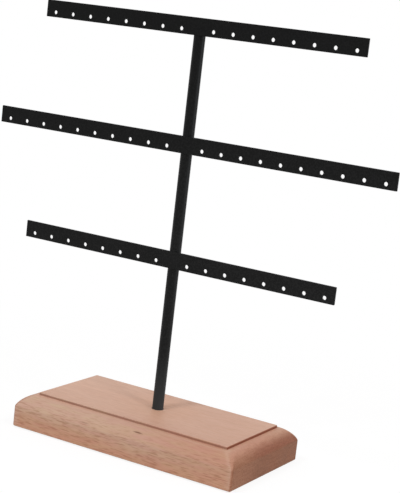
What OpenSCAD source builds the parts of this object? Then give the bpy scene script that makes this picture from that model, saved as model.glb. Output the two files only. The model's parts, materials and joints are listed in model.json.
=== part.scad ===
// Three-tier earring stand: perforated bars on a round post, on a wooden base.
// X runs along the bars, Y from front to back and Z up. The origin is on the
// table, under the axis of the post.

/* [Base board] */
// Length of the board, along the bars
base_w = 178; // [120:1:260]
// Depth of the board, front to back
base_d = 96; // [70:1:160]
// Thickness of the board, raised panel included
base_t = 25; // [23:0.1:40]
// Radius of the rounded top edge
roundover_r = 12.7; // [8:0.1:16]
// How far the rounded edge stops short of a full quarter circle, seen from above
roundover_short = 0.7; // [0.3:0.1:2]
// Height of the step up to the flat top panel
step_h = 1.8; // [0.5:0.1:3]
// Radius of the four upright corners
corner_r = 1.5; // [0.4:0.1:5]
// Chamfer around the underside
bottom_break = 0.6; // [0.2:0.1:1.5]

/* [Post] */
// Diameter of the rod
post_d = 8; // [6.5:0.5:12]
// Depth of the socket in the board that the rod stands in
socket_depth = 10; // [6:0.5:12]
// How far the top of the rod stays below the top edge of the top bar
post_drop = 1.5; // [0:0.5:2.5]
// Chamfer at both ends of the rod
post_chamfer = 0.5; // [0.2:0.1:0.8]

/* [Tiers] */
// Height of the bottom bar's centreline above the board's panel
first_tier_h = 107.5; // [60:0.5:160]
// Centre distance from one bar to the next
tier_spacing = 80; // [40:1:120]
// Height of a bar
bar_h = 12; // [10:0.5:20]
// Thickness of a bar
bar_t = 1.5; // [1:0.1:4]
// Radius on the four corners of a bar, seen from the front
bar_corner_r = 0.5; // [0.3:0.1:2]
// Radius on the long edges and the ends of a bar
bar_edge_r = 0.3; // [0.1:0.1:0.4]
// Depth of the flats on the rod, where a bar and its washer seat
flat_depth = 1; // [0.3:0.1:1.2]

/* [Earring holes] */
// Diameter of an earring hole
hole_d = 2.8; // [1.5:0.1:3.2]
// Distance from one hole to the next
hole_pitch = 15; // [8:0.5:25]
// How far the row of holes lies below the bar's centreline
hole_drop = 2.5; // [0:0.1:2.8]
// Holes on each side of the post, top and bottom bar
short_bar_holes = 8; // [3:1:12]
// Holes on each side of the post, middle bar
long_bar_holes = 10; // [3:1:14]
// Distance between the two holes beside the post, top and bottom bar
short_bar_gap = 25; // [18:0.5:40]
// Distance between the two holes beside the post, middle bar
long_bar_gap = 28; // [18:0.5:40]
// From the last hole to the end of the bar, top and bottom bar
short_bar_margin = 7.5; // [4:0.5:20]
// From the last hole to the end of the bar, middle bar
long_bar_margin = 8; // [4:0.5:20]

/* [Bar fixings] */
// Thread size of the stud behind each bar
stud_d = 3; // [2.5:0.5:3]
// Length of stud held by its cap nut
stud_grip = 4; // [3:0.5:5]
// Width across the flats of a cap nut
nut_across = 5.5; // [5:0.5:7]
// Height of the hexagon of a cap nut
nut_hex_h = 2.4; // [2:0.1:3]
// Metal above the end of the stud, up to the top of the dome
nut_crown = 2; // [1.5:0.1:3]
// Thickness of the washer behind the post
nut_washer_t = 0.5; // [0.3:0.1:1]
// Ring of washer that shows around a cap nut
nut_washer_rim = 0.75; // [0.3:0.05:1.5]

/* [Base fixing] */
// Thread size of the screw that holds the post
base_screw_d = 4; // [3:0.5:4]
// Length of screw held by the post
base_screw_grip = 7; // [5:0.5:12]
// Diameter of the screw's head
base_screw_head_d = 8; // [7:0.5:9]
// Height of the screw's head
base_screw_head_h = 2.6; // [2:0.1:3]
// Hexagon key size of the screw
base_screw_key = 2.5; // [2:0.5:3]
// Diameter of the wide washer under the board
base_washer_d = 12; // [10:0.5:14]
// Thickness of the wide washer
base_washer_t = 1; // [0.6:0.1:1.4]
// Thickness of the spring washer
spring_washer_t = 0.9; // [0.6:0.1:1.2]
// Depth of the counterbore under the board
counterbore_depth = 8; // [6.5:0.5:9]

/* [Pads] */
// Diameter of a pad
pad_d = 14; // [8:0.5:20]
// Thickness of a pad
pad_t = 1; // [0.5:0.1:3]
// From the board's edges to the middle of a pad
pad_inset = 14; // [12:0.5:25]

/* [Hidden] */
$fn = 64;

// Clearances
socket_clear = 0.1;      // around the rod in its socket
screw_clear = 0.25;      // around a screw or stud in a drilled hole
thread_clear = 0.05;     // around a screw or stud in a tapped hole
counterbore_clear = 1.5; // around the wide washer
tap_spare = 3;           // drilled past the end of the base screw
eps = 0.01;              // makes a cut pass through a face

// Finish of small edges
panel_edge_r = 0.4;
hole_break = 0.2;        // off both rims of an earring hole
pad_chamfer = 0.3;
thread_chamfer = 0.3;
head_chamfer = 0.5;
nut_chamfer = 0.25;      // off the corners of the hexagon
nut_dome_inset = 0.15;   // from the flats of the hexagon in to the dome
key_depth_share = 0.6;   // of the head's height, taken by the key's recess
washer_gap = 1;          // split in the spring washer
spring_washer_inset = 0.3; // from the edge of the screw's head in to the ring

// How far in and how far down the rounded top edge reaches
roundover_w = roundover_r - roundover_short;
roundover_drop = roundover_r - sqrt(roundover_r ^ 2 - roundover_w ^ 2);

// Heights above the table
board_z = pad_t;
board_side_h = base_t - step_h - roundover_drop;
panel_z = board_z + base_t;
socket_z = panel_z - socket_depth;
counterbore_z = board_z + counterbore_depth;
bottom_z = panel_z + first_tier_h;
middle_z = bottom_z + tier_spacing;
top_z = middle_z + tier_spacing;
post_top_z = top_z + bar_h / 2 - post_drop;

// Places in front of and behind the axis of the post
post_r = post_d / 2;
seat_y = post_r - flat_depth;
bar_back_y = -seat_y;
washer_back_y = seat_y + nut_washer_t;
stud_end_y = washer_back_y + stud_grip;

// The two kinds of bar: [holes on a side, gap beside the post, end margin]
short_bar = [short_bar_holes, short_bar_gap, short_bar_margin];
long_bar = [long_bar_holes, long_bar_gap, long_bar_margin];

// Distances of a bar's holes from the post, and the bar's length
function hole_offsets(bar) = [for (i = [0 : bar[0] - 1]) bar[1] / 2 + i * hole_pitch];
function bar_length(bar) = bar[1] + 2 * (bar[0] - 1) * hole_pitch + 2 * bar[2];

// Turns a shape drawn along Z so that it runs from front to back
module along_y() {
    rotate([-90, 0, 0]) children();
}

// A rectangle about the origin with round corners
module round_rect(w, h, r) {
    square([w - 2 * r, h], center = true);
    square([w, h - 2 * r], center = true);
    for (x = [-1, 1], y = [-1, 1])
        translate([x * (w / 2 - r), y * (h / 2 - r)]) circle(r);
}

// Cross-section of the board, w wide: upright sides, rounded top edges, raised panel
module board_section(w) {
    panel_w = w - 2 * roundover_w;
    // lower part, chamfered underneath
    polygon([
        [-w / 2 + bottom_break, 0], [w / 2 - bottom_break, 0],
        [w / 2, bottom_break], [w / 2, board_side_h],
        [-w / 2, board_side_h], [-w / 2, bottom_break],
    ]);
    // rounded edges, each level where it meets the step
    for (side = [-1, 1])
        translate([side * panel_w / 2, board_side_h])
            intersection() {
                translate([0, roundover_drop - roundover_r]) circle(roundover_r);
                translate([side > 0 ? -eps : -roundover_w, -eps])
                    square([roundover_w + eps, roundover_drop + eps]);
            }
    // panel, with its top edges eased
    translate([-panel_w / 2, board_side_h - eps])
        square([panel_w, roundover_drop + step_h - panel_edge_r + eps]);
    translate([-panel_w / 2 + panel_edge_r, base_t - 2 * panel_edge_r])
        square([panel_w - 2 * panel_edge_r, 2 * panel_edge_r]);
    for (side = [-1, 1])
        translate([side * (panel_w / 2 - panel_edge_r), base_t - panel_edge_r])
            circle(panel_edge_r);
}

module base_board() {
    color("#c39a78")
        translate([0, 0, board_z])
            difference() {
                intersection() {
                    translate([0, base_d / 2, 0])
                        rotate([90, 0, 0]) linear_extrude(base_d) board_section(base_w);
                    translate([-base_w / 2, 0, 0])
                        rotate([90, 0, 90]) linear_extrude(base_w) board_section(base_d);
                    linear_extrude(base_t) round_rect(base_w, base_d, corner_r);
                }
                // socket for the rod
                translate([0, 0, base_t - socket_depth])
                    cylinder(h = socket_depth + eps, d = post_d + 2 * socket_clear);
                // hole for the screw
                translate([0, 0, counterbore_depth - eps])
                    cylinder(h = base_t - counterbore_depth, d = base_screw_d + 2 * screw_clear);
                // counterbore for the head and its washers
                translate([0, 0, -eps])
                    cylinder(h = counterbore_depth + eps, d = base_washer_d + 2 * counterbore_clear);
            }
}

module post() {
    rod_h = post_top_z - socket_z;
    tap_h = base_screw_grip + tap_spare;
    color("#2b2a2a")
        difference() {
            union() {
                translate([0, 0, socket_z])
                    cylinder(h = post_chamfer, r1 = post_r - post_chamfer, r2 = post_r);
                translate([0, 0, socket_z + post_chamfer])
                    cylinder(h = rod_h - 2 * post_chamfer, r = post_r);
                translate([0, 0, post_top_z - post_chamfer])
                    cylinder(h = post_chamfer, r1 = post_r, r2 = post_r - post_chamfer);
            }
            // tapped hole in the foot
            translate([0, 0, socket_z - eps])
                cylinder(h = tap_h + eps, d = base_screw_d);
            for (z = [bottom_z, middle_z, top_z]) {
                // flats in front for the bar and behind for the washer
                for (side = [-1, 1])
                    translate([-post_r, side * (seat_y + post_r) - post_r, z - bar_h / 2])
                        cube([post_d, post_d, bar_h]);
                // cross hole for the stud
                translate([0, -post_r, z])
                    along_y() cylinder(h = post_d, d = stud_d + 2 * screw_clear);
            }
        }
}

// A flat bar with its rows of earring holes, centred on the height z
module bar(kind, z) {
    length = bar_length(kind);
    color("#1e1d1d")
        translate([0, bar_back_y - bar_t / 2, z])
            difference() {
                intersection() {
                    // seen from the front
                    rotate([90, 0, 0])
                        linear_extrude(bar_t, center = true) round_rect(length, bar_h, bar_corner_r);
                    // seen from the end
                    rotate([90, 0, 90])
                        linear_extrude(length, center = true) round_rect(bar_t, bar_h, bar_edge_r);
                    // seen from above
                    linear_extrude(bar_h, center = true) round_rect(length, bar_t, bar_edge_r);
                }
                for (x = hole_offsets(kind), side = [-1, 1])
                    translate([side * x, 0, -hole_drop]) earring_hole();
            }
}

// What a drill and a deburring tool take out of a bar
module earring_hole() {
    along_y() {
        cylinder(h = bar_t + 2 * eps, d = hole_d, center = true);
        for (side = [-1, 1])
            translate([0, 0, side * (bar_t / 2 - hole_break / 2)])
                cylinder(
                    h = hole_break + 2 * eps,
                    r1 = hole_d / 2 + (side < 0 ? hole_break : 0),
                    r2 = hole_d / 2 + (side > 0 ? hole_break : 0),
                    center = true
                );
    }
}

// The stud welded behind a bar, through the rod and into the cap nut
module stud(z) {
    stud_h = stud_end_y - bar_back_y;
    color("#8d8f90")
        translate([0, bar_back_y, z])
            along_y() {
                cylinder(h = stud_h - thread_chamfer, d = stud_d);
                translate([0, 0, stud_h - thread_chamfer])
                    cylinder(h = thread_chamfer, r1 = stud_d / 2, r2 = stud_d / 2 - thread_chamfer);
            }
}

module washer(outer_d, inner_d, t) {
    difference() {
        cylinder(h = t, d = outer_d);
        translate([0, 0, -eps]) cylinder(h = t + 2 * eps, d = inner_d);
    }
}

// The plain washer behind the rod
module nut_washer(z) {
    color("#9a9c9d")
        translate([0, seat_y, z])
            along_y() washer(nut_across + 2 * nut_washer_rim, stud_d + 2 * screw_clear, nut_washer_t);
}

// Half of a domed nut's cap, standing on the X axis
module dome_half(r, h) {
    square([r, h - r]);
    translate([0, h - r - eps]) intersection() {
        circle(r);
        square([r, r]);
    }
}

// A domed nut: a hexagon with chamfered corners under a round cap
module cap_nut(z) {
    corner_d = nut_across / cos(30);
    dome_r = nut_across / 2 - nut_dome_inset;
    color("#232222")
        translate([0, washer_back_y, z])
            along_y()
                difference() {
                    union() {
                        intersection() {
                            cylinder(h = nut_hex_h, d = corner_d, $fn = 6);
                            cylinder(h = nut_hex_h, r1 = corner_d / 2, r2 = corner_d / 2 - nut_chamfer);
                        }
                        rotate_extrude() dome_half(dome_r, stud_grip + nut_crown);
                    }
                    translate([0, 0, -eps])
                        cylinder(h = stud_grip + thread_clear + eps, d = stud_d + 2 * thread_clear);
                }
}

// The screw from below: head, then a plain shank up into the rod
module base_screw() {
    head_top_z = counterbore_z - base_washer_t - spring_washer_t;
    head_z = head_top_z - base_screw_head_h;
    shank_end_z = socket_z + base_screw_grip;
    color("#8d8f90")
        difference() {
            union() {
                translate([0, 0, head_z])
                    cylinder(
                        h = head_chamfer,
                        d1 = base_screw_head_d - 2 * head_chamfer,
                        d2 = base_screw_head_d
                    );
                translate([0, 0, head_z + head_chamfer])
                    cylinder(h = base_screw_head_h - head_chamfer, d = base_screw_head_d);
                translate([0, 0, head_top_z - eps])
                    cylinder(h = shank_end_z - head_top_z + eps, d = base_screw_d - 2 * thread_clear);
            }
            translate([0, 0, head_z - eps])
                cylinder(h = base_screw_head_h * key_depth_share, d = base_screw_key / cos(30), $fn = 6);
        }
}

module base_washer() {
    color("#9a9c9d")
        translate([0, 0, counterbore_z - base_washer_t])
            washer(base_washer_d, base_screw_d + 2 * screw_clear, base_washer_t);
}

// The split ring that keeps the screw tight
module spring_washer() {
    color("#77797a")
        translate([0, 0, counterbore_z - base_washer_t - spring_washer_t])
            difference() {
                washer(
                    base_screw_head_d - 2 * spring_washer_inset,
                    base_screw_d + 2 * screw_clear,
                    spring_washer_t
                );
                translate([0, -washer_gap / 2, -eps])
                    cube([base_screw_head_d, washer_gap, spring_washer_t + 2 * eps]);
            }
}

// A stick-on pad under the corner given by the signs of x and y
module pad(x, y) {
    color("#3a3a3b")
        translate([x * (base_w / 2 - pad_inset), y * (base_d / 2 - pad_inset), 0]) {
            cylinder(h = pad_chamfer, d1 = pad_d - 2 * pad_chamfer, d2 = pad_d);
            translate([0, 0, pad_chamfer]) cylinder(h = pad_t - pad_chamfer, d = pad_d);
        }
}

base_board();
post();
bar(short_bar, top_z);  // top_bar
bar(long_bar, middle_z);  // middle_bar
bar(short_bar, bottom_z);  // bottom_bar
stud(top_z);  // top_stud
stud(middle_z);  // middle_stud
stud(bottom_z);  // bottom_stud
nut_washer(top_z);  // top_washer
nut_washer(middle_z);  // middle_washer
nut_washer(bottom_z);  // bottom_washer
cap_nut(top_z);  // top_cap_nut
cap_nut(middle_z);  // middle_cap_nut
cap_nut(bottom_z);  // bottom_cap_nut
base_screw();
base_washer();
spring_washer();
pad(-1, -1);  // front_left_pad
pad(1, -1);  // front_right_pad
pad(-1, 1);  // rear_left_pad
pad(1, 1);  // rear_right_pad
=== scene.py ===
"""Looks of a three-tier earring stand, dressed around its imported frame.

Lengths are metres. X runs along the bars, Y from front to back and Z up, and the
origin is on the table under the axis of the post.
"""

import json
import math
from types import SimpleNamespace

import bmesh
import bpy
from mathutils import Matrix, Vector


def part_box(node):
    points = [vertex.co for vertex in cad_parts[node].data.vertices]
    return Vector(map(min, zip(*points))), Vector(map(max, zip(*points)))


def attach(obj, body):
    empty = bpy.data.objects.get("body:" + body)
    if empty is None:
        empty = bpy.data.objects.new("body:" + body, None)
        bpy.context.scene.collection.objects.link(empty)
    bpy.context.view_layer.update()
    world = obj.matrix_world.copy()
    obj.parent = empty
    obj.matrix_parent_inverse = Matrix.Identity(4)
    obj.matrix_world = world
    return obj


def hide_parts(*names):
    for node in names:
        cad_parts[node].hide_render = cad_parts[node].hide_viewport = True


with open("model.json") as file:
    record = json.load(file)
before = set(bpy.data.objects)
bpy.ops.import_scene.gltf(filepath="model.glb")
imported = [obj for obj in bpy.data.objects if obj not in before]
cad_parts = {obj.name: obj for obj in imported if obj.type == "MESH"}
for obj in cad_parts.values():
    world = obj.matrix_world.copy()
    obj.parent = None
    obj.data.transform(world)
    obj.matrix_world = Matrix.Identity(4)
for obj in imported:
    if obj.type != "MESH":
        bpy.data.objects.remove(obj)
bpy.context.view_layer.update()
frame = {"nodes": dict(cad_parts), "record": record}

MM = 0.001

# The camera. Its angles are degrees: round from the front towards the right, above
# the horizon, and tilted about its own line of sight.
CAMERA_AZIMUTH = 29.33
CAMERA_ELEVATION = 9.83
CAMERA_ROLL = 6.62
CAMERA_DISTANCE = 953.4 * MM
CAMERA_TARGET = Vector((18.9, 0.0, 146.2)) * MM
CAMERA_LENS_MM = 101.87
SENSOR_MM = 36.0

# The lamps are a little cooler than the light from all round, so shadows look warm
LAMP_COLOUR = (0.87, 0.93, 1.0)
FILL_COLOUR = (1.0, 0.955, 0.92, 1.0)
FILL_STRENGTH = 0.56

# How much of the floor's white near the stand is light that a shadow takes away,
# and how bright a white sheet lies there in the open
FLOOR_SHADE = 0.15
FLOOR_LIGHT = 0.8

# How far from the origin the floor keeps its shadow, where the shadow has faded out,
# and where the floor ends
SHADOW_REACH = 200 * MM
SHADOW_END = 450 * MM
FLOOR_REACH = 3000 * MM

# The base board's own finish, which its box doesn't tell
ROUNDOVER_W = 12 * MM
ROUNDOVER_R = 12.7 * MM
ROUNDOVER_EASE_R = 4 * MM
STEP_H = 1.8 * MM
CORNER_R = 1.5 * MM
RIDGE_EASE_R = 3.5 * MM
PANEL_CORNER_R = 0.5 * MM
PANEL_EDGE_R = 0.4 * MM
BOTTOM_BREAK = 0.6 * MM
SOCKET_CLEAR = 0.1 * MM
SOCKET_BREAK = 0.25 * MM
SCREW_HOLE_R = 2.25 * MM
COUNTERBORE_CLEAR = 1.5 * MM

# Points along half a side, and points round a corner, of every ring of the base board
SIDE_POINTS = 7
ARC_POINTS = 9

# Steps round the panel's edge, down the rounded edge and round its ease into the side
PANEL_EDGE_STEPS = 4
ROUNDOVER_STEPS = 18
EASE_STEPS = 6

# Edges of a built mesh that turn by more than this stay sharp
SHARP_ANGLE = math.radians(32)

# Dark flecks in the board's front: middle, half of the length, and how dark
FLECKS = [
    (Vector((12.6, -44.3, 21.1)) * MM, 5.2 * MM, 0.9),
    (Vector((-29.0, -46.8, 17.9)) * MM, 6.0 * MM, 0.35),
    (Vector((9.5, -48.0, 12.5)) * MM, 3.0 * MM, 0.3),
]
FLECK_HALF_H = 0.6 * MM

# How far from its corners and their ridges the board is made paler, sanded and with a painted
# highlight, and how much
CORNER_HIGHLIGHT_REACH = 6 * MM
CORNER_HIGHLIGHT_SHARE = 0.35

# How far the routed faces of the step are darkened, partly browned and partly painted shade, apart from
# its ends, which are darkened fully as painted shade where less light falls
STEP_SCORCH_AND_SHADE = 0.55


# ---------------------------------------------------------------- camera and lights


def direction(azimuth, elevation):
    """Which way something lies from the stand, by degrees round from the front and up."""
    azimuth = math.radians(azimuth)
    elevation = math.radians(elevation)
    return Vector((
        math.sin(azimuth) * math.cos(elevation),
        -math.cos(azimuth) * math.cos(elevation),
        math.sin(elevation),
    ))


def add_camera():
    """Puts the camera where the stand is seen from."""
    roll = math.radians(CAMERA_ROLL)
    back = direction(CAMERA_AZIMUTH, CAMERA_ELEVATION)
    level_right = direction(CAMERA_AZIMUTH + 90, 0)
    level_up = back.cross(level_right)
    right = level_right * math.cos(roll) + level_up * math.sin(roll)
    up = level_up * math.cos(roll) - level_right * math.sin(roll)

    data = bpy.data.cameras.new("camera")
    data.sensor_fit = "AUTO"
    data.sensor_width = SENSOR_MM
    data.lens = CAMERA_LENS_MM
    data.clip_start = 0.01
    data.clip_end = 20.0
    camera = bpy.data.objects.new("camera", data)
    turn = Matrix((right, up, back)).transposed()
    camera.matrix_world = Matrix.Translation(CAMERA_TARGET + back * CAMERA_DISTANCE) @ turn.to_4x4()
    bpy.context.scene.collection.objects.link(camera)
    bpy.context.scene.camera = camera


def add_area_light(name, azimuth, elevation, distance, size, power):
    """A square soft light that is aimed at the stand."""
    towards_light = direction(azimuth, elevation)
    data = bpy.data.lights.new(name, "AREA")
    data.shape = "SQUARE"
    data.size = size
    data.energy = power
    data.color = LAMP_COLOUR
    light = bpy.data.objects.new(name, data)
    light.location = CAMERA_TARGET + towards_light * distance
    light.rotation_mode = "QUATERNION"
    light.rotation_quaternion = towards_light.to_track_quat("Z", "Y")
    light.visible_camera = False
    bpy.context.scene.collection.objects.link(light)


def add_lights():
    """Soft lights: two above the stand, and a low one that draws a sheen down the post."""
    add_area_light("front_light", azimuth=-17, elevation=50, distance=1.6, size=0.32, power=7.0)
    add_area_light("right_light", azimuth=68, elevation=45, distance=1.6, size=0.32, power=4.7)
    add_area_light("sheen_light", azimuth=108, elevation=3, distance=1.6, size=0.4, power=5.6)


# ---------------------------------------------------------------- node trees


class NodeTree:
    """Adds nodes to a material's or a world's tree and joins them up."""

    def __init__(self, owner):
        owner.use_nodes = True
        self.tree = owner.node_tree
        self.tree.nodes.clear()

    def add(self, kind, inputs=None, **settings):
        """A node of that kind. An input is a constant or another node's output."""
        node = self.tree.nodes.new("ShaderNode" + kind)
        for name, value in settings.items():
            setattr(node, name, value)
        for name, value in (inputs or {}).items():
            self.feed(node.inputs[name], value)
        return node

    def feed(self, socket, value):
        if isinstance(value, bpy.types.NodeSocket):
            self.tree.links.new(value, socket)
        else:
            socket.default_value = value

    def maths(self, operation, *values):
        node = self.add("Math", operation=operation)
        for socket, value in zip(node.inputs, values):
            self.feed(socket, value)
        return node.outputs[0]

    def vector_maths(self, operation, *values):
        node = self.add("VectorMath", operation=operation)
        for socket, value in zip(node.inputs, values):
            self.feed(socket, value)
        return node.outputs["Value" if operation == "LENGTH" else "Vector"]

    def stretched(self, place, scale):
        """The place, measured with another scale along each axis."""
        return self.vector_maths("MULTIPLY", place, scale)

    def fade(self, value, start, end, low=0.0, high=1.0):
        """Goes smoothly from low to high while the value goes from start to end."""
        inputs = {"Value": value, "From Min": start, "From Max": end, "To Min": low, "To Max": high}
        return self.add("MapRange", inputs, interpolation_type="SMOOTHSTEP").outputs[0]

    def mix(self, share, first, second, blend_type="MIX"):
        """The first colour, with a share of the second mixed in."""
        node = self.add("MixRGB", blend_type=blend_type)
        for name, value in (("Fac", share), ("Color1", first), ("Color2", second)):
            self.feed(node.inputs[name], value)
        return node.outputs[0]

    def tint(self, share, colour, factors):
        """The colour, with a share of it multiplied by the factors."""
        return self.mix(share, colour, factors, blend_type="MULTIPLY")

    def noise(self, place, scale, detail=2.0, roughness=0.5):
        """Noise with about that many lumps to a metre."""
        inputs = {"Vector": place, "Scale": scale, "Detail": detail, "Roughness": roughness}
        return self.add("TexNoise", inputs).outputs["Fac"]

    def bump(self, height, strength, distance):
        inputs = {"Strength": strength, "Distance": distance, "Height": height}
        return self.add("Bump", inputs).outputs["Normal"]

    def end_in_shader(self, inputs):
        """Ends a material's tree in a shader with those inputs."""
        shader = self.add("BsdfPrincipled", inputs)
        self.add("OutputMaterial", {"Surface": shader.outputs[0]})


def new_material(name):
    """A material and the tree that its nodes go in."""
    material = bpy.data.materials.new(name)
    return material, NodeTree(material)


def rgb(red, green, blue):
    """A colour's linear values, from 0 to 255 values as a screen shows them."""
    def linear(value):
        share = value / 255
        return share / 12.92 if share <= 0.04045 else ((share + 0.055) / 1.055) ** 2.4

    return (linear(red), linear(green), linear(blue), 1.0)


def grey(value):
    """A grey with that linear value."""
    return (value, value, value, 1.0)


# ---------------------------------------------------------------- beech


def board_spot(nodes):
    """A point's place on the board and the way its surface faces, as outputs of nodes."""
    coordinates = nodes.add("TexCoord")
    place = coordinates.outputs["Object"]
    split = nodes.add("SeparateXYZ", {"Vector": place})
    normal = nodes.add("SeparateXYZ", {"Vector": coordinates.outputs["Normal"]})
    return SimpleNamespace(
        place=place,
        along=split.outputs["X"],
        depth=split.outputs["Y"],
        height=split.outputs["Z"],
        endness=nodes.maths("ABSOLUTE", normal.outputs["X"]),
        upness=normal.outputs["Z"],
    )


def beech_figure(nodes, place):
    """Marks of beech whose grain runs along X, each from 0 to 1."""
    # the grain is a little wavy along its length
    wander = nodes.add("TexNoise", {"Vector": nodes.stretched(place, (22.0, 16.0, 16.0)), "Scale": 1.0})
    sway = nodes.stretched(wander.outputs["Color"], (0.0, 3 * MM, 3 * MM))
    grain = nodes.vector_maths("ADD", place, sway)

    def marks(where, per_metre, start, full, **texture):
        noise = nodes.noise(nodes.stretched(where, per_metre), 1.0, **texture)
        return nodes.fade(noise, start, full)

    return SimpleNamespace(
        streaks=marks(grain, (90.0, 850.0, 850.0), 0.42, 0.72, roughness=0.6),
        dashes=marks(grain, (140.0, 1450.0, 1450.0), 0.48, 0.70, detail=1.0),
        rings=marks(grain, (60.0, 130.0, 1100.0), 0.36, 0.66, roughness=0.6),
        mottle=marks(grain, (48.0, 300.0, 300.0), 0.36, 0.64),
        patches=marks(place, (9.0, 30.0, 30.0), 0.38, 0.66),
    )


def panel_colour(nodes, at, figure):
    """The flat top, painted paler towards its back left, with painted shade round the post."""
    pale = nodes.mix(figure.patches, rgb(224, 183, 160), rgb(220, 177, 154))
    deep = nodes.mix(figure.patches, rgb(214, 171, 148), rgb(210, 165, 142))
    # painted light: the top is paler towards the back and left, and deeper towards the front right
    rightward = nodes.maths("MULTIPLY", at.along, 0.6)
    forward = nodes.maths("MULTIPLY", at.depth, -1.4)
    painted_light_falloff = nodes.fade(nodes.maths("ADD", rightward, forward), -70 * MM, 80 * MM)
    colour = nodes.mix(painted_light_falloff, pale, deep)
    mottled = rgb(208, 166, 142)
    colour = nodes.mix(nodes.maths("MULTIPLY", figure.mottle, 0.3), colour, mottled)
    # painted shade: the top is tinted warmer and darker round the post, where its shadows fall
    off_post = nodes.vector_maths("LENGTH", nodes.stretched(at.place, (1.0, 1.0, 0.0)))
    painted_shade_tint = (1.0, 0.965, 0.92, 1.0)
    return nodes.tint(nodes.fade(off_post, 42 * MM, 6 * MM), colour, painted_shade_tint)


def side_colour(nodes, at, figure):
    """The sides and the rounded edge, which turn ruddy towards the right and low down, with painted
    shade on the upper curve and a little painted light low down.
    """
    left = nodes.mix(figure.mottle, rgb(212, 180, 155), rgb(212, 174, 155))
    right = nodes.mix(figure.mottle, rgb(207, 165, 137), rgb(207, 159, 137))
    colour = nodes.mix(nodes.fade(at.along, -30 * MM, 80 * MM), left, right)
    # painted shade: the upper part of the rounded edge, which the lamps light more, is darkened, more
    # so towards the right
    left_painted_shade = (0.98, 0.95, 0.92, 1.0)
    right_painted_shade = (0.95, 0.87, 0.85, 1.0)
    painted_curve_shade = nodes.mix(nodes.fade(at.along, -50 * MM, 70 * MM), left_painted_shade, right_painted_shade)
    colour = nodes.tint(nodes.fade(at.upness, 0.1, 0.6), colour, painted_curve_shade)
    # low down the colour is ruddy, and a little lighter as painted light against the shade near the
    # floor
    low_colour = nodes.mix(figure.mottle, rgb(209, 162, 132), rgb(209, 157, 131))
    uneven_height = nodes.maths("ADD", at.height, nodes.maths("MULTIPLY", figure.patches, 6 * MM))
    return nodes.mix(nodes.fade(uneven_height, 22 * MM, 4 * MM), colour, low_colour)


def side_share(nodes, at):
    """0 on the panel and 1 on the sides, from where the rounded edge curves down.

    Towards the right it is 1 already at the foot of the step.
    """
    curved = nodes.fade(at.upness, 0.9995, 0.93)
    foot_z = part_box("base_board")[1].z - STEP_H
    above_below = nodes.fade(at.height, foot_z - 0.6 * MM, foot_z - 0.1 * MM)
    below_above = nodes.fade(at.height, foot_z + 0.8 * MM, foot_z + 0.3 * MM)
    at_foot = nodes.maths("MULTIPLY", above_below, below_above)
    at_foot = nodes.maths("MULTIPLY", at_foot, nodes.fade(at.along, -50 * MM, 0.0))
    return nodes.maths("MAXIMUM", curved, at_foot)


def corner_share(nodes, at):
    """1 on the board's upright corners and on the ridges above them, and 0 further off."""
    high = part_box("base_board")[1]
    from_end = nodes.maths("SUBTRACT", high.x, nodes.maths("ABSOLUTE", at.along))
    from_side = nodes.maths("SUBTRACT", high.y, nodes.maths("ABSOLUTE", at.depth))
    off_ridge = nodes.maths("ABSOLUTE", nodes.maths("SUBTRACT", from_end, from_side))
    return nodes.fade(off_ridge, CORNER_HIGHLIGHT_REACH, CORNER_R)


def with_end_grain(nodes, at, figure, colour):
    """Turns the ends to dark end grain, ruddy at first, and further down near the front."""
    late = nodes.fade(at.depth, 0.0, -40 * MM, high=0.1)
    turned = nodes.maths("SUBTRACT", at.endness, late)
    ruddy = nodes.mix(nodes.fade(at.depth, 0.0, 30 * MM), rgb(194, 143, 119), rgb(196, 150, 125))
    colour = nodes.mix(nodes.fade(turned, 0.0, 0.3), colour, ruddy)
    upright = nodes.mix(figure.patches, rgb(142, 91, 62), rgb(137, 90, 63))
    curved = rgb(145, 90, 66)
    near_front = rgb(155, 106, 78)
    end_grain = nodes.mix(nodes.fade(at.upness, 0.1, 0.5), upright, curved)
    end_grain = nodes.mix(nodes.fade(at.depth, 0.0, -35 * MM), end_grain, near_front)
    colour = nodes.mix(nodes.fade(turned, 0.3, 0.9), colour, end_grain)
    ring_share = nodes.maths("MULTIPLY", figure.rings, nodes.fade(at.endness, 0.05, 0.7, high=0.75))
    ring_tint = (0.84, 0.77, 0.72, 1.0)
    return nodes.tint(ring_share, colour, ring_tint)


def with_flecks(nodes, at, colour):
    """Adds the long dark flecks, each with soft edges."""
    fleck_colour = rgb(124, 82, 62)
    for middle, half_length, darkness in FLECKS:
        off = nodes.vector_maths("SUBTRACT", at.place, middle)
        per_reach = (1 / half_length, 1 / half_length, 1 / FLECK_HALF_H)
        distance = nodes.vector_maths("LENGTH", nodes.stretched(off, per_reach))
        colour = nodes.mix(nodes.fade(distance, 1.0, 0.2, high=darkness), colour, fleck_colour)
    return colour


def with_grain(nodes, at, figure, colour):
    """Adds streaks and short dashes, faint on the panel and stronger on the sides."""
    streak_tint = (0.87, 0.80, 0.75, 1.0)
    dash_tint = (0.66, 0.52, 0.45, 1.0)
    strength = nodes.fade(at.height, 24.5 * MM, 14 * MM, low=0.20, high=0.66)
    colour = nodes.tint(nodes.maths("MULTIPLY", figure.streaks, strength), colour, streak_tint)
    return nodes.tint(nodes.maths("MULTIPLY", figure.dashes, strength), colour, dash_tint)


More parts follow.
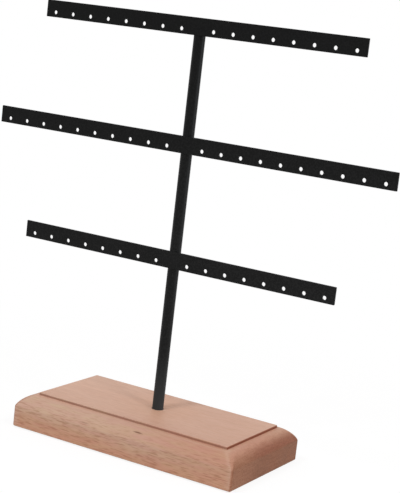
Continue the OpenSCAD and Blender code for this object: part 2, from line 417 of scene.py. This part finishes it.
def beech_material(name, scorch_and_shade=0.0):
    """Oiled beech with its grain along X. The scorch and shade share is how far a routed face is
    darkened, partly browned and partly painted shade.
    """
    material, nodes = new_material(name)
    at = board_spot(nodes)
    figure = beech_figure(nodes, at.place)

    sideness = side_share(nodes, at)
    colour = nodes.mix(sideness, panel_colour(nodes, at, figure), side_colour(nodes, at, figure))
    # sanded paler and with a painted highlight along the upright corners and their ridges
    sanded_and_highlit = nodes.maths("MULTIPLY", corner_share(nodes, at), sideness)
    sanded_highlight_colour = rgb(216, 182, 160)
    colour = nodes.mix(nodes.maths("MULTIPLY", sanded_and_highlit, CORNER_HIGHLIGHT_SHARE), colour, sanded_highlight_colour)
    colour = with_end_grain(nodes, at, figure, colour)
    colour = with_flecks(nodes, at, colour)
    colour = with_grain(nodes, at, figure, colour)
    if scorch_and_shade:
        # the step's face is darkened, partly browned and partly painted shade, fully so on the ends,
        # where less light falls
        scorched_shade_colour = rgb(128, 68, 46)
        colour = nodes.mix(nodes.fade(at.endness, 0.3, 0.7, low=scorch_and_shade), colour, scorched_shade_colour)

    grain_height = nodes.maths("SUBTRACT", 1.0, nodes.maths("MULTIPLY", figure.streaks, 0.6))
    nodes.end_in_shader({
        "Base Color": colour,
        "Roughness": nodes.fade(figure.streaks, 0.0, 1.0, low=0.50, high=0.60),
        "Specular IOR Level": 0.22,
        "Normal": nodes.bump(grain_height, strength=0.2, distance=0.05 * MM),
    })
    return material


# ---------------------------------------------------------------- the other finishes


def powder_coat_material():
    """Satin black powder coat, with its fine orange peel, and painted light that greys it low down and
    towards the right.
    """
    material, nodes = new_material("black_powder_coat")
    place = nodes.add("TexCoord").outputs["Object"]
    split = nodes.add("SeparateXYZ", {"Vector": place})
    along, height = split.outputs["X"], split.outputs["Z"]
    peel = nodes.noise(place, 950.0, detail=1.0)
    clouds = nodes.noise(place, 60.0)
    black = nodes.mix(clouds, grey(0.0038), grey(0.0060))
    black = nodes.mix(nodes.fade(peel, 0.40, 0.66, high=0.45), black, grey(0.0160))
    # painted light: the coat is made greyer low down, for the pale board's light on it, and greyer
    # towards the right
    black = nodes.tint(1.0, black, nodes.fade(height, 300 * MM, 120 * MM, low=0.6, high=1.3))
    black = nodes.tint(1.0, black, nodes.fade(along, -150 * MM, 150 * MM, low=0.85, high=1.25))
    # painted light: towards the foot the coat turns greyer still, for the board's light and reflection
    # on it
    painted_foot_light = (0.041, 0.045, 0.047, 1.0)
    black = nodes.mix(nodes.fade(height, 78 * MM, 20 * MM), black, painted_foot_light)
    nodes.end_in_shader({
        "Base Color": black,
        "Roughness": nodes.fade(peel, 0.3, 0.7, low=0.38, high=0.48),
        "Specular IOR Level": 0.10,
        "Normal": nodes.bump(peel, strength=0.12, distance=0.04 * MM),
    })
    return material


def zinc_material():
    """Bright zinc plate with faint blue and straw clouds."""
    material, nodes = new_material("zinc_plate")
    place = nodes.add("TexCoord").outputs["Object"]
    clouds = nodes.noise(place, 300.0)
    speckle = nodes.noise(place, 2600.0)
    bluish, straw = (0.60, 0.62, 0.65, 1.0), (0.66, 0.64, 0.58, 1.0)
    nodes.end_in_shader({
        "Base Color": nodes.mix(clouds, bluish, straw),
        "Metallic": 1.0,
        "Roughness": nodes.fade(speckle, 0.3, 0.7, low=0.26, high=0.40),
        "Normal": nodes.bump(speckle, strength=0.2, distance=0.02 * MM),
    })
    return material


def rubber_material():
    """Matt dark rubber with a fine pebbled skin."""
    material, nodes = new_material("dark_rubber")
    place = nodes.add("TexCoord").outputs["Object"]
    pebbles = nodes.add("TexVoronoi", {"Vector": place, "Scale": 1500.0}).outputs["Distance"]
    dust = nodes.noise(place, 220.0, detail=3.0)
    clean, dusty = (0.030, 0.030, 0.032, 1.0), (0.055, 0.055, 0.056, 1.0)
    nodes.end_in_shader({
        "Base Color": nodes.mix(nodes.fade(dust, 0.4, 0.75), clean, dusty),
        "Roughness": nodes.fade(dust, 0.3, 0.7, low=0.78, high=0.9),
        "Specular IOR Level": 0.3,
        "Normal": nodes.bump(pebbles, strength=0.4, distance=0.08 * MM),
    })
    return material


# ---------------------------------------------------------------- surroundings


def seen_as_white(nodes):
    """1 where a ray comes from the camera, a gloss or a glass, and otherwise 0."""
    path = nodes.add("LightPath")
    seen = nodes.maths("MAXIMUM", path.outputs["Is Camera Ray"], path.outputs["Is Glossy Ray"])
    return nodes.maths("MAXIMUM", seen, path.outputs["Is Transmission Ray"])


def mix_shaders(nodes, share, first, second):
    """The first shader, with a share of the second mixed in."""
    both = nodes.add("MixShader", {"Fac": share})
    nodes.feed(both.inputs[1], first.outputs[0])
    nodes.feed(both.inputs[2], second.outputs[0])
    return both


def set_world():
    """White to look at, and a dimmer even light on the stand."""
    world = bpy.data.worlds.new("studio")
    bpy.context.scene.world = world
    nodes = NodeTree(world)
    fill = nodes.add("Background", {"Color": FILL_COLOUR, "Strength": FILL_STRENGTH})
    white = nodes.add("Background", {"Color": grey(1.0), "Strength": 1.0})
    both = mix_shaders(nodes, seen_as_white(nodes), fill, white)
    nodes.add("OutputWorld", {"Surface": both.outputs[0]})


def floor_material():
    """A pale floor that looks white and keeps a faint shadow round the stand."""
    material, nodes = new_material("studio_floor")
    paint = nodes.add("BsdfDiffuse", {"Color": (0.78, 0.77, 0.76, 1.0)})
    white = nodes.add("Emission", {"Color": grey(1.0), "Strength": 1.0})
    open_glow = 1.0 - FLOOR_SHADE * FLOOR_LIGHT
    glow = nodes.add("Emission", {"Color": grey(1.0), "Strength": open_glow})
    shade = nodes.add("BsdfDiffuse", {"Color": grey(FLOOR_SHADE)})
    shaded = nodes.add("AddShader")
    nodes.feed(shaded.inputs[0], glow.outputs[0])
    nodes.feed(shaded.inputs[1], shade.outputs[0])
    off_stand = nodes.vector_maths("LENGTH", nodes.add("TexCoord").outputs["Object"])
    near = nodes.fade(off_stand, SHADOW_END, SHADOW_REACH)
    seen = mix_shaders(nodes, near, white, shaded)
    surface = mix_shaders(nodes, seen_as_white(nodes), paint, seen)
    nodes.add("OutputMaterial", {"Surface": surface.outputs[0]})
    return material


# ---------------------------------------------------------------- mesh building


def mesh_object(name, build, *materials):
    """A smooth-shaded mesh object. The build function fills its bmesh."""
    mesh = bpy.data.meshes.new(name)
    bm = bmesh.new()
    build(bm)
    bmesh.ops.recalc_face_normals(bm, faces=bm.faces)
    for face in bm.faces:
        face.smooth = True
    for edge in bm.edges:
        edge.smooth = edge.calc_face_angle(0.0) < SHARP_ANGLE
    bm.to_mesh(mesh)
    bm.free()
    for material in materials:
        mesh.materials.append(material)
    piece = bpy.data.objects.new(name, mesh)
    bpy.context.scene.collection.objects.link(piece)
    weights = piece.modifiers.new("even_faces", "WEIGHTED_NORMAL")
    weights.mode = "FACE_AREA"
    weights.keep_sharp = True
    return piece


def rectangle_ring(width, depth, corner_r, z):
    """Points round a rectangle with round corners, from the middle of its right side."""
    points = []
    for quarter in range(4):
        turn = Matrix.Rotation(quarter * math.pi / 2, 3, "Z")
        half_x, half_y = (width / 2, depth / 2) if quarter % 2 == 0 else (depth / 2, width / 2)
        for i in range(SIDE_POINTS):
            y = (half_y - corner_r) * i / SIDE_POINTS
            points.append(turn @ Vector((half_x, y, z)))
        for i in range(ARC_POINTS):
            angle = math.pi / 2 * i / (ARC_POINTS - 1)
            x = half_x - corner_r + corner_r * math.cos(angle)
            y = half_y - corner_r + corner_r * math.sin(angle)
            points.append(turn @ Vector((x, y, z)))
        for i in range(1, SIDE_POINTS):
            x = (half_x - corner_r) * (1 - i / SIDE_POINTS)
            points.append(turn @ Vector((x, half_y, z)))
    return points


def circle_ring(radius, z):
    """As many points round a circle about the Z axis."""
    count = 4 * (2 * SIDE_POINTS - 1 + ARC_POINTS)
    angles = [2 * math.pi * i / count for i in range(count)]
    return [Vector((radius * math.cos(a), radius * math.sin(a), z)) for a in angles]


def closed_loft(bm, rings, material_of):
    """Faces from each ring of points to the next one, and from the last to the first."""
    made = [[bm.verts.new(point) for point in ring] for ring in rings]
    count = len(made[0])
    for k, lower in enumerate(made):
        upper = made[(k + 1) % len(made)]
        for i in range(count):
            j = (i + 1) % count
            face = bm.faces.new((lower[i], lower[j], upper[j], upper[i]))
            face.material_index = material_of(k)


# ---------------------------------------------------------------- the base board


def roundover_profile():
    """How far out and how far down the rounded edge has come, step by step.

    A wide arc starts level at the foot of the step. A small one eases it into the
    upright side.
    """
    ease_out = ROUNDOVER_W - ROUNDOVER_EASE_R
    meeting_angle = math.asin(ease_out / (ROUNDOVER_R - ROUNDOVER_EASE_R))
    ease_drop = ROUNDOVER_R - (ROUNDOVER_R - ROUNDOVER_EASE_R) * math.cos(meeting_angle)
    profile = []
    for i in range(1, ROUNDOVER_STEPS + 1):
        angle = meeting_angle * i / ROUNDOVER_STEPS
        profile.append((ROUNDOVER_R * math.sin(angle), ROUNDOVER_R * (1 - math.cos(angle))))
    for i in range(1, EASE_STEPS + 1):
        angle = meeting_angle + (math.pi / 2 - meeting_angle) * i / EASE_STEPS
        out = ease_out + ROUNDOVER_EASE_R * math.sin(angle)
        profile.append((out, ease_drop - ROUNDOVER_EASE_R * math.cos(angle)))
    return profile


def base_board_rings():
    """The board's rings, from the screw hole out over the top and back underneath.

    Returns the rings and the number of the ring at the foot of the step.
    """
    low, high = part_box("base_board")
    post_low, post_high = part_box("post")
    washer_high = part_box("base_washer")[1]
    width, depth = high.x - low.x, high.y - low.y
    socket_r = post_high.x + SOCKET_CLEAR
    counterbore_r = washer_high.x + COUNTERBORE_CLEAR
    round_top_z = high.z - STEP_H
    panel_w, panel_d = width - 2 * ROUNDOVER_W, depth - 2 * ROUNDOVER_W

    rings = [
        circle_ring(SCREW_HOLE_R, post_low.z),
        circle_ring(socket_r, post_low.z),
        circle_ring(socket_r, high.z - SOCKET_BREAK),
        circle_ring(socket_r + SOCKET_BREAK, high.z),
    ]
    # the panel's top, its eased edge and the step
    for i in range(PANEL_EDGE_STEPS + 1):
        angle = math.pi / 2 * i / PANEL_EDGE_STEPS
        inset = PANEL_EDGE_R * (1 - math.sin(angle))
        z = high.z - PANEL_EDGE_R * (1 - math.cos(angle))
        rings.append(rectangle_ring(panel_w - 2 * inset, panel_d - 2 * inset, PANEL_CORNER_R, z))
    step_foot = len(rings)
    rings.append(rectangle_ring(panel_w, panel_d, PANEL_CORNER_R, round_top_z))
    # the rounded edge, whose ridges at the corners are sanded soft halfway down
    for out, drop in roundover_profile():
        share = out / ROUNDOVER_W
        ridge_r = PANEL_CORNER_R + (CORNER_R - PANEL_CORNER_R) * share
        ridge_r += RIDGE_EASE_R * math.sin(math.pi * share)
        rings.append(rectangle_ring(panel_w + 2 * out, panel_d + 2 * out, ridge_r, round_top_z - drop))
    # the upright sides and the broken edge underneath
    rings.append(rectangle_ring(width, depth, CORNER_R, low.z + BOTTOM_BREAK))
    under_w, under_d = width - 2 * BOTTOM_BREAK, depth - 2 * BOTTOM_BREAK
    rings.append(rectangle_ring(under_w, under_d, CORNER_R - BOTTOM_BREAK, low.z))
    rings.append(circle_ring(counterbore_r, low.z))
    rings.append(circle_ring(counterbore_r, washer_high.z))
    rings.append(circle_ring(SCREW_HOLE_R, washer_high.z))
    return rings, step_foot


def add_base_board():
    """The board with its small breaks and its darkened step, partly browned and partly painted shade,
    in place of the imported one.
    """
    rings, step_foot = base_board_rings()

    def material_of(ring):
        """1, the step's own material, from the ring above its foot, and otherwise 0."""
        return int(ring == step_foot - 1)

    board = mesh_object(
        "beech_board",
        lambda bm: closed_loft(bm, rings, material_of),
        beech_material("beech"),
        beech_material("beech_step", scorch_and_shade=STEP_SCORCH_AND_SHADE),
    )
    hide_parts("base_board")
    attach(board, "root")


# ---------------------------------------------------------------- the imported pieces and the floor


def dress_frame():
    """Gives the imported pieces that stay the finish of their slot."""
    finishes = {
        "black_steel": powder_coat_material(),
        "zinc": zinc_material(),
        "rubber": rubber_material(),
    }
    for subpart in frame["record"]["subparts"]:
        finish = finishes.get(subpart["material_slot"])
        if finish:
            for material_slot in frame["nodes"][subpart["node"]].material_slots:
                material_slot.material = finish


def add_floor():
    """The floor under the stand, which is staging and no piece of it."""
    def square(bm):
        bmesh.ops.create_grid(bm, x_segments=2, y_segments=2, size=FLOOR_REACH)

    floor = mesh_object("floor", square, floor_material())


add_camera()
add_lights()
set_world()
add_floor()
add_base_board()
dress_frame()

bpy.context.scene.view_settings.view_transform = "Standard"
